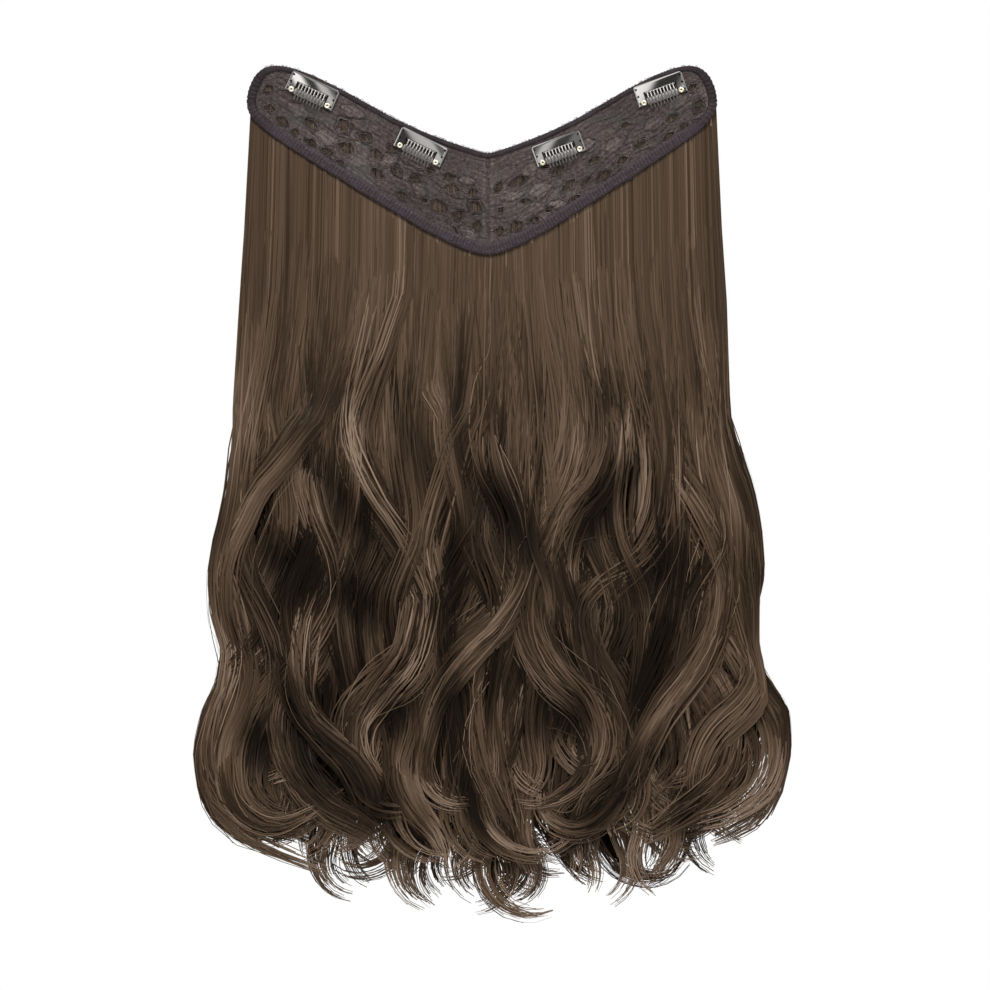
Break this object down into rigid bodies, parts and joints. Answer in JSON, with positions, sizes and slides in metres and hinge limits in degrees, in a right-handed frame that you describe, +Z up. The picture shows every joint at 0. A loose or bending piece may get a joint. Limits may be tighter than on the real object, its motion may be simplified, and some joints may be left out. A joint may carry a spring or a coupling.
{
  "type": "one-piece clip-in hair extension",
  "caption": "V-shaped lace band with snap comb clips on its inner side and long wavy locks hanging from it in two layers.",
  "frame": {"origin": "on the lining's head side, in the middle of the V, where the band sits on the back of the head", "axes": "+Z up, the hair hangs along -Z; the combs face -Y, towards the head; +X is to the right as seen from the combs"},
  "size_m": [0.3739, 0.0587, 0.5317],
  "materials": {
    "lace": "matt woven lace",
    "tape": "matt twill tape",
    "hair": "soft sheen fibre",
    "polished_steel": "polished",
    "grip_sleeve": "smooth translucent silicone",
    "pale_brass": "pale satin"
  },
  "bodies": {
    "band": {"lace_lining": "lace", "edge_binding": "tape", "hair_inner": "hair", "hair_outer": "hair", "clip_1_plate": "polished_steel", "clip_1_bar": "polished_steel", "clip_1_sleeve": "grip_sleeve", "clip_1_eyelet_left": "pale_brass", "clip_1_eyelet_right": "pale_brass", "clip_2_plate": "polished_steel", "clip_2_bar": "polished_steel", "clip_2_sleeve": "grip_sleeve", "clip_2_eyelet_left": "pale_brass", "clip_2_eyelet_right": "pale_brass", "clip_3_plate": "polished_steel", "clip_3_bar": "polished_steel", "clip_3_sleeve": "grip_sleeve", "clip_3_eyelet_left": "pale_brass", "clip_3_eyelet_right": "pale_brass", "clip_4_plate": "polished_steel", "clip_4_bar": "polished_steel", "clip_4_sleeve": "grip_sleeve", "clip_4_eyelet_left": "pale_brass", "clip_4_eyelet_right": "pale_brass"},
    "clip_1_comb_body": {"clip_1_comb": "polished_steel"},
    "clip_2_comb_body": {"clip_2_comb": "polished_steel"},
    "clip_3_comb_body": {"clip_3_comb": "polished_steel"},
    "clip_4_comb_body": {"clip_4_comb": "polished_steel"}
  },
  "joints": [
    {"name": "clip_1_snap", "type": "hinge", "parent": "band", "child": "clip_1_comb_body", "pos_m": [-0.10951, -0.00711, 0.07072], "axis": [-0.9058, -0.0873, 0.4147], "range_deg": [0, 28]},
    {"name": "clip_2_snap", "type": "hinge", "parent": "band", "child": "clip_2_comb_body", "pos_m": [-0.04161, -0.00261, 0.03574], "axis": [-0.902, -0.0332, 0.4305], "range_deg": [0, 28]},
    {"name": "clip_3_snap", "type": "hinge", "parent": "band", "child": "clip_3_comb_body", "pos_m": [0.0439, -0.00269, 0.03467], "axis": [-0.939, 0.0364, -0.342], "range_deg": [0, 28]},
    {"name": "clip_4_snap", "type": "hinge", "parent": "band", "child": "clip_4_comb_body", "pos_m": [0.10743, -0.00691, 0.07162], "axis": [-0.9413, 0.0889, -0.3256], "range_deg": [0, 28]}
  ]
}
